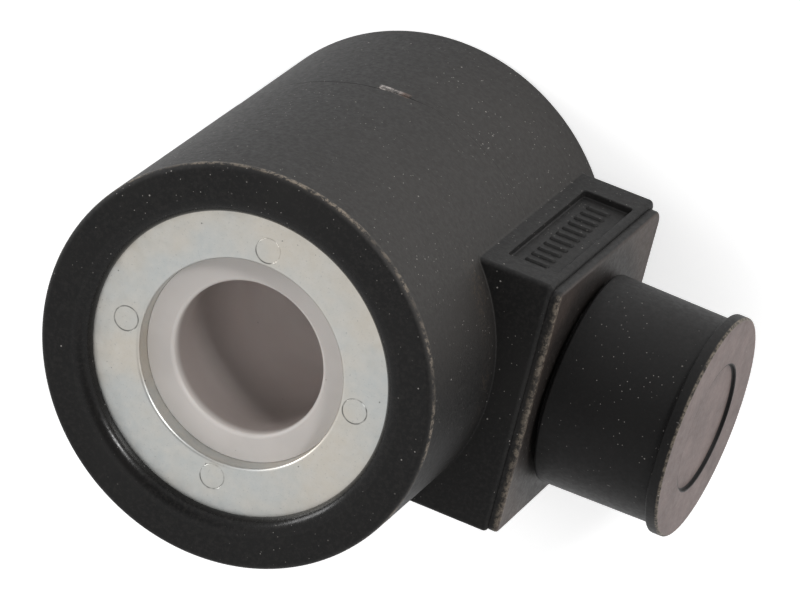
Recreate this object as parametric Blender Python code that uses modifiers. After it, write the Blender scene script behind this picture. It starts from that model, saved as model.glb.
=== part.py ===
"""Capped solenoid coil: a round overmoulded coil with a through bore and a side connector.

The bore stands along +Z and the connector points along +X. The origin lies on the resting
plane, under the middle of the whole object, so the bore axis is a little towards -X from it.
Driving dimensions are in millimetres and are turned into metres where a mesh is made.
"""

import math

import bmesh
import bpy
from mathutils import Vector

MM = 0.001
GAP = 0.3

# Housing: a cylinder round the bore axis, with a rectangular block on its +X side.
BODY_RADIUS = 25.0
BODY_HEIGHT = 57.0
RIM_ROUNDING = 0.8
LIP_RADIUS = 18.9
LIP_ROUNDING = 1.2
BLOCK_END = 28.85
BLOCK_Y = (-17.45, 15.85)
BLOCK_Z = (2.5, 37.4)
BLOCK_ROUNDING = 0.5
LABEL_X = (21.6, 28.0)
LABEL_Z = (8.0, 33.2)
LABEL_DEPTH = 0.9

# Steel flux path.
PLATE_RECESS = 1.77
PLATE_THICKNESS = 3.0
PLATE_HOLE_RADIUS = 12.95
YOKE_RADIUS = 21.7
YOKE_WALL = 2.0
WINDOW_HALF_WIDTH = 6.0
WINDOW_HALF_HEIGHT = 7.0

# Bobbin and winding.
BORE_RADIUS = 9.5
BORE_ROUNDING = 0.5
BOBBIN_RECESS = 4.0
BOBBIN_WALL = 2.05
FLANGE_RADIUS = 18.9
FLANGE_THICKNESS = 1.5
WINDING_RADIUS = 18.0
TAPE_THICKNESS = 0.4
TAPE_START = 3.0

# Connector: its distances are measured along +X from the bore axis.
CONNECTOR_Y = -1.36
CONNECTOR_Z = 21.2
FLANGE_OUTER_FACE = 30.25
FLANGE_INSET = 0.8
FLANGE_SHIFT = 0.15
SHELL_RADIUS = 11.0
SHELL_WALL = 1.4
SHELL_START = 25.2
SHELL_END = 44.6
WEB = (29.4, 31.4)
LUG_COUNT = 3
LUG_HEIGHT = 0.5
LUG_TURN = 33.75
CARRIER = (26.0, 29.1)
PIN_SPACING = 7.0
PIN_RADIUS = 1.25
PIN_TAIL_RADIUS = 0.45
PIN_START = 23.9
PIN_SHOULDER = 25.6
PIN_END = 39.8
CRIMP = (22.6, 25.2)
CRIMP_RADIUS = 1.15
LEAD_RADIUS = 0.25
SLEEVE = (19.7, 22.2)
SLEEVE_RADIUS = 0.65
DIODE_RADIUS = 1.3
DIODE_LENGTH = 4.0
DIODE_RISE = 3.8

# Dust cap.
CAP_START = 31.0
CAP_END = 47.6
CAP_RADII = (13.35, 13.12)
CAP_BORE_RADIUS = 11.9
CAP_FLANGE_RADIUS = 14.05
CAP_FLANGE_START = 45.95
CAP_DISH_RADIUS = 8.2
CAP_DISH_DEPTH = 0.45
CAP_INNER_FACE = 45.4

# The bore axis is set so that the whole object is centred over the origin.
BORE_X = -(CAP_END - BODY_RADIUS) / 2

FINE = 64
MEDIUM = 48
COARSE = 16


def clear_scene():
    for old in list(bpy.data.objects):
        bpy.data.objects.remove(old, do_unlink=True)


def make_collection(name):
    collection = bpy.data.collections.new(name)
    bpy.context.scene.collection.children.link(collection)
    return collection


def make_material(name, colour, roughness, metallic=0.0):
    material = bpy.data.materials.new(name)
    material.use_nodes = True
    shader = material.node_tree.nodes["Principled BSDF"]
    shader.inputs["Base Color"].default_value = (*colour, 1.0)
    shader.inputs["Roughness"].default_value = roughness
    shader.inputs["Metallic"].default_value = metallic
    return material


clear_scene()
PARTS = make_collection("solenoid_coil")
TOOLS = make_collection("cutting_tools")
TOOLS.hide_render = True

BLACK_NYLON = ("black_nylon", (0.030, 0.030, 0.029), 0.55)
BLACK_CAP = ("black_cap", (0.018, 0.017, 0.017), 0.42)
ZINC = ("zinc_plate", (0.68, 0.70, 0.72), 0.30, 1.0)
YOKE_STEEL = ("yoke_steel", (0.45, 0.45, 0.46), 0.40, 1.0)
WHITE_NYLON = ("white_nylon", (0.72, 0.70, 0.68), 0.45)
COPPER = ("enamelled_copper", (0.55, 0.20, 0.08), 0.30, 1.0)
TAPE = ("winding_tape", (0.75, 0.55, 0.10), 0.35)
TIN = ("tinned_brass", (0.70, 0.69, 0.66), 0.28, 1.0)
SLEEVING = ("glass_sleeving", (0.62, 0.58, 0.48), 0.70)
CARRIER_NYLON = ("carrier_nylon", (0.10, 0.10, 0.11), 0.50)
DIODE_BLACK = ("diode_epoxy", (0.02, 0.02, 0.02), 0.30)


def make_axis(name, location, rotation=(0.0, 0.0, 0.0), parent=None):
    """An empty that carries the pieces built round one axis."""
    axis = bpy.data.objects.new(name, None)
    axis.location = Vector(location) * MM
    axis.rotation_euler = rotation
    axis.parent = parent
    PARTS.objects.link(axis)
    return axis


BORE_AXIS = make_axis("bore_axis", (BORE_X, 0, 0))
# Local +Z of the connector axis is world +X, and its local -X is world +Z.
CONNECTOR_AXIS = make_axis(
    "connector_axis", (0, CONNECTOR_Y, CONNECTOR_Z), (0, math.pi / 2, 0), BORE_AXIS
)


def place(name, data, finish, parent, location=(0, 0, 0)):
    """Links an object under an axis: a part when it has a finish, or else a hidden tool."""
    piece = bpy.data.objects.new(name, data)
    piece.parent = parent
    piece.location = Vector(location) * MM
    if finish is None:
        TOOLS.objects.link(piece)
        piece.hide_render = True
        piece.display_type = "WIRE"
        return piece
    PARTS.objects.link(piece)
    material = bpy.data.materials.get(finish[0]) or make_material(*finish)
    data.materials.append(material)
    return piece


def smooth(mesh):
    mesh.shade_smooth()
    mesh.set_sharp_from_angle(angle=math.radians(35))


def box(name, x, y, z, finish=None, parent=BORE_AXIS, rounding=0.0, segments=2):
    """A block between two limits on each axis, with its edges rounded."""
    limits = (x, y, z)
    middle = [(low + high) / 2 for low, high in limits]
    mesh = bpy.data.meshes.new(name)
    shape = bmesh.new()
    bmesh.ops.create_cube(shape, size=1.0)
    bmesh.ops.scale(shape, vec=[(high - low) * MM for low, high in limits], verts=shape.verts)
    shape.to_mesh(mesh)
    shape.free()
    piece = place(name, mesh, finish, parent, middle)
    if rounding:
        bevel = piece.modifiers.new("rounding", "BEVEL")
        bevel.width = rounding * MM
        bevel.segments = segments
        bevel.limit_method = "ANGLE"
    return piece


def turned(name, profile, finish=None, parent=BORE_AXIS, steps=FINE, location=(0, 0, 0)):
    """Turns (radius, height) points round the parent's Z.

    The points run down the outer side. A profile that leaves and meets the axis is an open
    line, and any other is a closed loop.
    """
    mesh = bpy.data.meshes.new(name)
    points = [(radius * MM, 0.0, height * MM) for radius, height in profile]
    edges = [(i, i + 1) for i in range(len(points) - 1)]
    solid = profile[0][0] == 0 and profile[-1][0] == 0
    if not solid:
        edges.append((len(points) - 1, 0))
    mesh.from_pydata(points, edges, [])
    piece = place(name, mesh, finish, parent, location)
    screw = piece.modifiers.new("turning", "SCREW")
    screw.steps = steps
    screw.render_steps = steps
    screw.use_merge_vertices = True
    screw.merge_threshold = 0.00001
    return piece


def rod(name, radius, low, high, finish=None, parent=BORE_AXIS, steps=FINE, location=(0, 0, 0)):
    profile = [(0, high), (radius, high), (radius, low), (0, low)]
    return turned(name, profile, finish, parent, steps, location)


def ring(name, inner, outer, low, high, finish, parent=BORE_AXIS, steps=FINE, location=(0, 0, 0)):
    profile = [(outer, high), (outer, low), (inner, low), (inner, high)]
    return turned(name, profile, finish, parent, steps, location)


def arc(centre, radius, start, end, steps=3):
    """Points of a circular arc in a profile, with its angles in degrees."""
    points = []
    for i in range(steps + 1):
        angle = math.radians(start + (end - start) * i / steps)
        points.append((centre[0] + radius * math.cos(angle), centre[1] + radius * math.sin(angle)))
    return points


def boolean(piece, tool, operation="DIFFERENCE"):
    modifier = piece.modifiers.new(tool.name, "BOOLEAN")
    modifier.operation = operation
    modifier.solver = "EXACT"
    modifier.object = tool
    return piece


def rounded_route(corners, bend, steps=4):
    """The points of a wire that runs straight between corners and bends round each of them."""
    corners = [Vector(corner) for corner in corners]
    points = [corners[0]]
    for before, corner, after in zip(corners, corners[1:], corners[2:]):
        start = corner + (before - corner).normalized() * bend
        end = corner + (after - corner).normalized() * bend
        for i in range(steps + 1):
            t = i / steps
            points.append(start * (1 - t) ** 2 + corner * 2 * t * (1 - t) + end * t**2)
    points.append(corners[-1])
    return points


def wire(name, corners, bend, radius, finish, parent=BORE_AXIS):
    curve = bpy.data.curves.new(name, "CURVE")
    curve.dimensions = "3D"
    curve.bevel_depth = radius * MM
    curve.bevel_resolution = 2
    curve.use_fill_caps = True
    points = rounded_route(corners, bend)
    spline = curve.splines.new("POLY")
    spline.points.add(len(points) - 1)
    for target, point in zip(spline.points, points):
        target.co = (*(point * MM), 1.0)
    return place(name, curve, finish, parent)


def make_housing():
    """The black overmoulding: a cylinder and a block, opened for the coil and the connector."""
    top, edge = BODY_HEIGHT, RIM_ROUNDING
    profile = [(0, top)]
    profile += arc((BODY_RADIUS - edge, top - edge), edge, 90, 0)
    profile += arc((BODY_RADIUS - edge, edge), edge, 0, -90)
    profile += [(0, 0)]
    housing = turned("housing", profile, BLACK_NYLON)

    block = box("block", (12, BLOCK_END), BLOCK_Y, BLOCK_Z, rounding=BLOCK_ROUNDING)
    boolean(housing, block, "UNION")

    lip, soft = LIP_RADIUS, LIP_ROUNDING
    shoulder = PLATE_RECESS - GAP
    pocket = YOKE_RADIUS + GAP
    profile = [(0, top + 1), (lip + soft, top + 1)]
    profile += arc((lip + soft, top - soft), soft, 90, 180)
    profile += [(lip, top - shoulder), (pocket, top - shoulder), (pocket, shoulder), (lip, shoulder)]
    profile += arc((lip + soft, soft), soft, 180, 270)
    profile += [(lip + soft, -1), (0, -1)]
    boolean(housing, turned("coil_pocket", profile))

    seat = SHELL_RADIUS + GAP
    back = SHELL_START - GAP
    chamber = seat - 2
    profile = [(0, BLOCK_END + 1), (seat, BLOCK_END + 1), (seat, back), (chamber, back), (chamber, 15), (0, 15)]
    boolean(housing, turned("connector_pocket", profile, parent=CONNECTOR_AXIS, steps=MEDIUM))

    label = box("label_recess", LABEL_X, (BLOCK_Y[1] - LABEL_DEPTH, BLOCK_Y[1] + 1), LABEL_Z)
    boolean(housing, label)


def make_flux_path():
    """Two plated washers that close the ends of a steel tube, which has a window for the leads."""
    plate_back = PLATE_RECESS + PLATE_THICKNESS
    for name, low in (("rear_flux_plate", PLATE_RECESS), ("front_flux_plate", BODY_HEIGHT - plate_back)):
        ring(name, PLATE_HOLE_RADIUS, YOKE_RADIUS, low, low + PLATE_THICKNESS, ZINC)
    low, high = plate_back + GAP, BODY_HEIGHT - plate_back - GAP
    yoke = ring("yoke_tube", YOKE_RADIUS - YOKE_WALL, YOKE_RADIUS, low, high, YOKE_STEEL)
    window = box(
        "lead_window",
        (12, BODY_RADIUS),
        (CONNECTOR_Y - WINDOW_HALF_WIDTH, CONNECTOR_Y + WINDOW_HALF_WIDTH),
        (CONNECTOR_Z - WINDOW_HALF_HEIGHT, CONNECTOR_Z + WINDOW_HALF_HEIGHT),
    )
    boolean(yoke, window)


def make_bobbin_and_winding():
    """The spool that lines the bore, its copper winding and the tape over the winding."""
    low, high = BOBBIN_RECESS, BODY_HEIGHT - BOBBIN_RECESS
    neck = PLATE_HOLE_RADIUS - GAP
    tube = BORE_RADIUS + BOBBIN_WALL
    bottom = PLATE_RECESS + PLATE_THICKNESS + GAP
    top = BODY_HEIGHT - bottom
    inner_bottom, inner_top = bottom + FLANGE_THICKNESS, top - FLANGE_THICKNESS
    mouth = BORE_RADIUS + BORE_ROUNDING
    profile = [(neck, high), (neck, top), (FLANGE_RADIUS, top), (FLANGE_RADIUS, inner_top), (tube, inner_top)]
    profile += [(tube, inner_bottom), (FLANGE_RADIUS, inner_bottom), (FLANGE_RADIUS, bottom)]
    profile += [(neck, bottom), (neck, low)]
    profile += arc((mouth, low + BORE_ROUNDING), BORE_ROUNDING, 270, 180, 2)
    profile += arc((mouth, high - BORE_ROUNDING), BORE_ROUNDING, 180, 90, 2)
    turned("bobbin", profile, WHITE_NYLON)

    start, end = inner_bottom + GAP, inner_top - GAP
    ring("winding", tube + GAP, WINDING_RADIUS, start, end, COPPER, steps=MEDIUM)
    tape = WINDING_RADIUS + GAP
    ring("winding_tape", tape, tape + TAPE_THICKNESS, start + TAPE_START, end, TAPE, steps=MEDIUM)


def pin_y(side):
    return side * PIN_SPACING / 2


def make_receptacle():
    """The round connector shell on its square flange, the pin carrier and the two pins."""
    sides = (BLOCK_Y[0] + FLANGE_SHIFT, BLOCK_Y[1] - FLANGE_INSET)
    ends = (BLOCK_Z[0] + FLANGE_SHIFT, BLOCK_Z[1] - FLANGE_INSET / 2)
    flange_x = (BLOCK_END + GAP, FLANGE_OUTER_FACE)
    receptacle = box("connector_receptacle", flange_x, sides, ends, BLACK_NYLON, rounding=0.4)
    outer, inner = SHELL_RADIUS, SHELL_RADIUS - SHELL_WALL
    middle = (outer + inner) / 2
    opening = rod(
        "flange_opening_tool", middle, SHELL_START, SHELL_END, parent=CONNECTOR_AXIS, steps=MEDIUM
    )
    boolean(receptacle, opening)
    profile = [(0, WEB[1]), (inner, WEB[1]), (inner, SHELL_END), (outer - 0.3, SHELL_END)]
    profile += [(outer, SHELL_END - 0.3), (outer, SHELL_START), (inner, SHELL_START)]
    profile += [(inner, WEB[0]), (0, WEB[0])]
    shell = turned("shell_tool", profile, parent=CONNECTOR_AXIS, steps=MEDIUM)
    boolean(receptacle, shell, "UNION")
    for i in range(LUG_COUNT):
        angle = 2 * math.pi * i / LUG_COUNT + math.radians(LUG_TURN)
        centre = (middle * math.cos(angle), middle * math.sin(angle), SHELL_END - 3.5)
        lug = rod(
            f"lug_tool_{i + 1}", 1.4, -0.4, outer - middle + LUG_HEIGHT, parent=CONNECTOR_AXIS,
            steps=COARSE, location=centre,
        )
        lug.rotation_euler = (0, math.pi / 2, angle)
        boolean(receptacle, lug, "UNION")
    carrier = rod(
        "terminal_carrier", inner - GAP, *CARRIER, CARRIER_NYLON, CONNECTOR_AXIS, MEDIUM
    )
    for number, side in ((1, -1), (2, 1)):
        spot = (0, pin_y(side), 0)
        hole = rod(
            f"pin_hole_tool_{number}", PIN_RADIUS + GAP, CARRIER[0] - 1, WEB[1] + 1,
            parent=CONNECTOR_AXIS, steps=COARSE, location=spot,
        )
        boolean(receptacle, hole)
        boolean(carrier, hole)
        tip = arc((0, PIN_END - PIN_RADIUS), PIN_RADIUS, 90, 0)
        profile = tip + [
            (PIN_RADIUS, PIN_SHOULDER), (PIN_TAIL_RADIUS, PIN_SHOULDER),
            (PIN_TAIL_RADIUS, PIN_START), (0, PIN_START),
        ]
        profile[0] = (0, PIN_END)
        turned(f"contact_pin_{number}", profile, TIN, CONNECTOR_AXIS, COARSE, spot)


def make_leads():
    """The two ends of the winding, each sleeved and crimped to the tail of its pin."""
    names = {-1: "start", 1: "finish"}
    outside = WINDING_RADIUS + GAP + TAPE_THICKNESS + GAP + LEAD_RADIUS
    base = PLATE_RECESS + PLATE_THICKNESS + 2 * GAP + FLANGE_THICKNESS + 1.2
    crimp_bore = PIN_TAIL_RADIUS + GAP
    for side, name in names.items():
        across = CONNECTOR_Y + pin_y(side)
        x_tape = math.sqrt(outside**2 - across**2)
        corners = [
            (x_tape, across, base),
            (x_tape, across, CONNECTOR_Z),
            (PIN_START - GAP, across, CONNECTOR_Z),
        ]
        wire(f"{name}_lead", corners, 0.6, LEAD_RADIUS, COPPER)
        spot = (0, pin_y(side), 0)
        ring(
            f"{name}_lead_sleeve", LEAD_RADIUS + 0.12, SLEEVE_RADIUS, *SLEEVE,
            SLEEVING, CONNECTOR_AXIS, COARSE, spot,
        )
        ring(f"{name}_crimp", crimp_bore, CRIMP_RADIUS, *CRIMP, TIN, CONNECTOR_AXIS, COARSE, spot)


def make_suppressor():
    """A diode across the two pins, with a bent lead down to each crimp."""
    x = sum(CRIMP) / 2
    half = DIODE_LENGTH / 2
    height = CONNECTOR_Z + DIODE_RISE
    diode = rod(
        "suppressor_diode", DIODE_RADIUS, -half, half, DIODE_BLACK, BORE_AXIS, COARSE,
        (x, CONNECTOR_Y, height),
    )
    diode.rotation_euler = (math.pi / 2, 0, 0)
    foot = CONNECTOR_Z + CRIMP_RADIUS + GAP
    for number, side in ((1, -1), (2, 1)):
        corners = [
            (x, CONNECTOR_Y + side * (half + GAP), height),
            (x, CONNECTOR_Y + pin_y(side), height),
            (x, CONNECTOR_Y + pin_y(side), foot),
        ]
        wire(f"diode_lead_{number}", corners, 0.5, 0.3, TIN)


def make_dust_cap():
    """A push-on cup with a raised rim round its closed end and a shallow dish in that end."""
    rim = CAP_FLANGE_RADIUS
    profile = [(0, CAP_END - CAP_DISH_DEPTH), (CAP_DISH_RADIUS - 0.15, CAP_END - CAP_DISH_DEPTH)]
    profile += [(CAP_DISH_RADIUS, CAP_END), (rim - 0.3, CAP_END), (rim, CAP_END - 0.3)]
    profile += [(rim, CAP_FLANGE_START + 0.2), (rim - 0.2, CAP_FLANGE_START)]
    profile += [(CAP_RADII[1], CAP_FLANGE_START), (CAP_RADII[0], CAP_START + 0.25)]
    profile += [(CAP_RADII[0] - 0.25, CAP_START), (CAP_BORE_RADIUS + 0.25, CAP_START)]
    profile += [(CAP_BORE_RADIUS, CAP_START + 0.4), (CAP_BORE_RADIUS, CAP_INNER_FACE), (0, CAP_INNER_FACE)]
    turned("dust_cap", profile, BLACK_CAP, CONNECTOR_AXIS, MEDIUM)


def main():
    make_housing()
    make_flux_path()
    make_bobbin_and_winding()
    make_receptacle()
    make_leads()
    make_suppressor()
    make_dust_cap()
    for piece in PARTS.objects:
        if piece.type == "MESH":
            smooth(piece.data)


main()
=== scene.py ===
"""The looks of the capped solenoid coil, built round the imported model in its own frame."""

import math
import random

import bpy
from mathutils import Matrix, Vector


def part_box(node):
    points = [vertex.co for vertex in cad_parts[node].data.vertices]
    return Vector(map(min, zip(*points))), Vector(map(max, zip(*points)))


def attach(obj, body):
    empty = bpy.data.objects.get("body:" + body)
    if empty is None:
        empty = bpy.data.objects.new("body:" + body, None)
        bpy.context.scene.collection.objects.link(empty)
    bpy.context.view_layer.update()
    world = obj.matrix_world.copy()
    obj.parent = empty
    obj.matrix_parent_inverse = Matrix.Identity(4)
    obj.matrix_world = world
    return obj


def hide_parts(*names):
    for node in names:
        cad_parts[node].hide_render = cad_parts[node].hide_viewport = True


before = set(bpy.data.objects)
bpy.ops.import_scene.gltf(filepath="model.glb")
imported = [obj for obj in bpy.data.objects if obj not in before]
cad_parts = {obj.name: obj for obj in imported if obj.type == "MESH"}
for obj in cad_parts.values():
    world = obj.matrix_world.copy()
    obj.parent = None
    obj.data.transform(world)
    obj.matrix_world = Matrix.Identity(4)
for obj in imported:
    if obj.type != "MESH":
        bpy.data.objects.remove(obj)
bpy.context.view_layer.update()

MM = 0.001

# Places read from the frame, in metres.
HOUSING_LOW, HOUSING_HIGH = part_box("housing")
PLATE_LOW, PLATE_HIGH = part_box("front_flux_plate")
REAR_LOW, REAR_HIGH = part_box("rear_flux_plate")
BOBBIN_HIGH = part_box("bobbin")[1]
CAP_LOW, CAP_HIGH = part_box("dust_cap")
SHELL_LOW, SHELL_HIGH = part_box("connector_receptacle")
YOKE_LOW, YOKE_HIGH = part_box("yoke_tube")

# Sizes in millimetres, from the frame where it holds them.
BODY_RADIUS = (HOUSING_HIGH.y - HOUSING_LOW.y) / 2 / MM
BODY_HEIGHT = HOUSING_HIGH.z / MM
BORE_X = HOUSING_LOW.x / MM + BODY_RADIUS
CONNECTOR_Y = (CAP_LOW.y + CAP_HIGH.y) / 2 / MM
CONNECTOR_Z = (CAP_LOW.z + CAP_HIGH.z) / 2 / MM
PLATE_RECESS = BODY_HEIGHT - PLATE_HIGH.z / MM
PLATE_THICKNESS = (PLATE_HIGH.z - PLATE_LOW.z) / MM
BOBBIN_RECESS = BODY_HEIGHT - BOBBIN_HIGH.z / MM
YOKE_RADIUS = (YOKE_HIGH.y - YOKE_LOW.y) / 2 / MM
CAP_END = CAP_HIGH.x / MM - BORE_X
CAP_START = CAP_LOW.x / MM - BORE_X
CAP_FLANGE_RADIUS = (CAP_HIGH.z - CAP_LOW.z) / 2 / MM
BLOCK_END = HOUSING_HIGH.x / MM - BORE_X
SHELL_START = SHELL_LOW.x / MM - BORE_X
SHELL_END = SHELL_HIGH.x / MM - BORE_X

GAP = 0.3
RIM_ROUNDING = 0.8
LIP_RADIUS = 18.9
LIP_ROUNDING = 1.7
BLOCK_Y = (-17.45, 15.85)
BLOCK_Z = (2.5, 37.4)
LABEL_X = (21.6, 28.0)
LABEL_Z = (8.0, 33.2)
LABEL_DEPTH = 0.9
PLATE_HOLE_RADIUS = 12.95
MARK_CIRCLE = 15.0
MARK_RADIUS = 1.54
MARK_DEPTH = 0.04
MARK_TOOL_HALF = 0.06
MARK_TOOL_SHOULDER = 0.008
MARK_TOOL_TOP = 0.3
BORE_RADIUS = 9.5
MOUTH_ROUNDING = 0.5
FLANGE_OUTER_FACE = 30.25
FLANGE_INSET = 0.8
FLANGE_SHIFT = 0.15
SHELL_RADIUS = 11.0
SHELL_WALL = 1.4
WEB = (29.4, 31.4)
PIN_SPACING = 7.0
SEAM_HEIGHT = 21.7
PIN_HOLE_RADIUS = 1.35
LUG_TURN = 33.75
CAP_RADII = (13.35, 13.12)
CAP_BORE_RADIUS = 11.9
CAP_FLANGE_START = 45.95
CAP_DISH_RADIUS = 8.2
CAP_DISH_DEPTH = 0.45
CAP_INNER_FACE = 45.4
# Edges sharper than this, in degrees, are drawn sharp.
SHARP_ANGLE = 32

BORE_FRAME = Matrix.Translation(Vector((BORE_X, 0, 0)) * MM)
# In the connector's frame +Z is the object's +X, and -X is the object's +Z.
CONNECTOR_FRAME = (
    Matrix.Translation(Vector((BORE_X, CONNECTOR_Y, CONNECTOR_Z)) * MM)
    @ Matrix.Rotation(math.pi / 2, 4, "Y")
)


# ---------------------------------------------------------------- mesh tools


def make_object(name, points, faces, place=None):
    """A mesh object from points in millimetres, moved by a 4x4 matrix into the frame."""
    mesh = bpy.data.meshes.new(name)
    mesh.from_pydata([tuple(c * MM for c in p) for p in points], [], faces)
    mesh.transform(place or Matrix.Identity(4))
    mesh.update()
    piece = bpy.data.objects.new(name, mesh)
    bpy.context.scene.collection.objects.link(piece)
    return piece


def arc(centre, radius, start, end, steps=8):
    """Points of a circular arc in a profile, with its angles in degrees."""
    points = []
    for i in range(steps + 1):
        angle = math.radians(start + (end - start) * i / steps)
        points.append((centre[0] + radius * math.cos(angle), centre[1] + radius * math.sin(angle)))
    return points


def rounded(profile, radius, steps=4):
    """A closed (radius, height) loop with each corner turned into an arc, where there is room."""
    result = []
    count = len(profile)
    for i, corner in enumerate(profile):
        here = Vector(corner)
        before = Vector(profile[i - 1]) - here
        after = Vector(profile[(i + 1) % count]) - here
        size = min(radius, before.length * 0.45, after.length * 0.45)
        start, end = here + before.normalized() * size, here + after.normalized() * size
        for k in range(steps + 1):
            t = k / steps
            point = start * (1 - t) ** 2 + here * 2 * t * (1 - t) + end * t**2
            result.append((point.x, point.y))
    return result


def lathe(name, profile, steps=192, place=None, shift=None):
    """Turns a closed profile, or one that starts and ends on the axis, round local Z.

    The profile runs down its outer side. shift(angle, radius, height) may move a point.
    """
    solid = profile[0][0] == 0 and profile[-1][0] == 0
    ring = profile[1:-1] if solid else profile
    points, faces = [], []
    for i in range(steps):
        angle = 2 * math.pi * i / steps
        for radius, height in ring:
            if shift:
                radius, height = shift(angle, radius, height)
            points.append((radius * math.cos(angle), radius * math.sin(angle), height))
    count = len(ring)
    last = count - 1 if solid else count
    for i in range(steps):
        here, there = i * count, (i + 1) % steps * count
        for j in range(last):
            k = (j + 1) % count
            faces.append((here + j, here + k, there + k, there + j))
    if solid:
        points += [(0, 0, profile[0][1]), (0, 0, profile[-1][1])]
        top, bottom = len(points) - 2, len(points) - 1
        for i in range(steps):
            here, there = i * count, (i + 1) % steps * count
            faces.append((here, there, top))
            faces.append((there + count - 1, here + count - 1, bottom))
    return make_object(name, points, faces, place)


def loft(name, loops, place=None):
    """A closed solid through loops of equal length, each loop seen anticlockwise from its far end."""
    count = len(loops[0])
    points = [point for loop in loops for point in loop]
    faces = [tuple(reversed(range(count)))]
    for i in range(len(loops) - 1):
        for j in range(count):
            k = (j + 1) % count
            faces.append((i * count + j, i * count + k, (i + 1) * count + k, (i + 1) * count + j))
    faces.append(tuple(range((len(loops) - 1) * count, len(loops) * count)))
    return make_object(name, points, faces, place)


def rounded_rectangle(u, v, radii, grow=0.0, per_corner=6, per_side=24):
    """Anticlockwise (u, v) points of a rectangle with round corners, grown outwards all round.

    The radii belong to the corners (high u, low v), (high u, high v), (low u, high v), (low u, low v).
    """
    (u0, u1), (v0, v1) = (u[0] - grow, u[1] + grow), (v[0] - grow, v[1] + grow)
    corners = []
    for i, (at_u, at_v) in enumerate(((u1, v0), (u1, v1), (u0, v1), (u0, v0))):
        radius = max(radii[i] + grow, 0.05)
        centre = (at_u + (radius if at_u == u0 else -radius), at_v + (radius if at_v == v0 else -radius))
        corners.append(arc(centre, radius, 90 * i - 90, 90 * i, per_corner))
    points = []
    for i, corner in enumerate(corners):
        points += corner
        target = corners[(i + 1) % 4][0]
        for k in range(1, per_side):
            t = k / per_side
            points.append(tuple(a * (1 - t) + b * t for a, b in zip(corner[-1], target)))
    return points


def boolean(piece, tool, operation="DIFFERENCE"):
    """Cuts or joins with a tool, which is then removed."""
    modifier = piece.modifiers.new("cut", "BOOLEAN")
    modifier.operation = operation
    modifier.solver = "EXACT"
    modifier.object = tool
    graph = bpy.context.evaluated_depsgraph_get()
    mesh = bpy.data.meshes.new_from_object(piece.evaluated_get(graph))
    piece.modifiers.clear()
    old = piece.data
    piece.data = mesh
    mesh.name = piece.name
    bpy.data.meshes.remove(old)
    bpy.data.objects.remove(tool)


def shade(piece):
    """Smooth shading with sharp edges past SHARP_ANGLE, and flat faces kept flat."""
    piece.data.shade_smooth()
    piece.data.set_sharp_from_angle(angle=math.radians(SHARP_ANGLE))
    weighted = piece.modifiers.new("flat_faces", "WEIGHTED_NORMAL")
    weighted.keep_sharp = True
    weighted.weight = 80


def finish_piece(piece, node, material, body="coil"):
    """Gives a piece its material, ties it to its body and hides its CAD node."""
    piece.data.materials.clear()
    piece.data.materials.append(material)
    shade(piece)
    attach(piece, body)
    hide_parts(node)


# ---------------------------------------------------------------- materials


# Colours are linear. The surface colours were adjusted until the render's tones came near the photo's.
BLACK_SPECULAR = 0.24
BLACK = (0.0052, 0.0050, 0.0050)
CAP_BLACK = (0.0035, 0.0032, 0.0032)
# The cap end's dust colour, made light enough to stand in for its grazing reflection: dust and painted
# reflection.
CAP_DUST_AND_REFLECTION = (0.156, 0.118, 0.110)
HAZE = (0.060, 0.054, 0.049)
GRIME = (0.075, 0.055, 0.038)
FILM = (0.060, 0.044, 0.037)
DUST = (0.34, 0.32, 0.30)
# A wear colour that also serves as a painted highlight on rims and edges.
WEAR_AND_HIGHLIGHT = (0.17, 0.142, 0.112)
TORN = (0.34, 0.31, 0.29)
TORN_BROWN = (0.085, 0.055, 0.042)
RING_WHITE = (0.58, 0.545, 0.520)
# Painted shade and painted light for the inside of the bore.
BORE_PAINTED_SHADE = (0.27, 0.232, 0.217)
BORE_PAINTED_LIGHT = (0.93, 0.86, 0.835)

# The torn end of the moulding gate on the cylinder's +Y side, from the bore axis.
GATE_X = -0.55
GATE_HALF = 2.05
GATE_Z = 21.95


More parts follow.
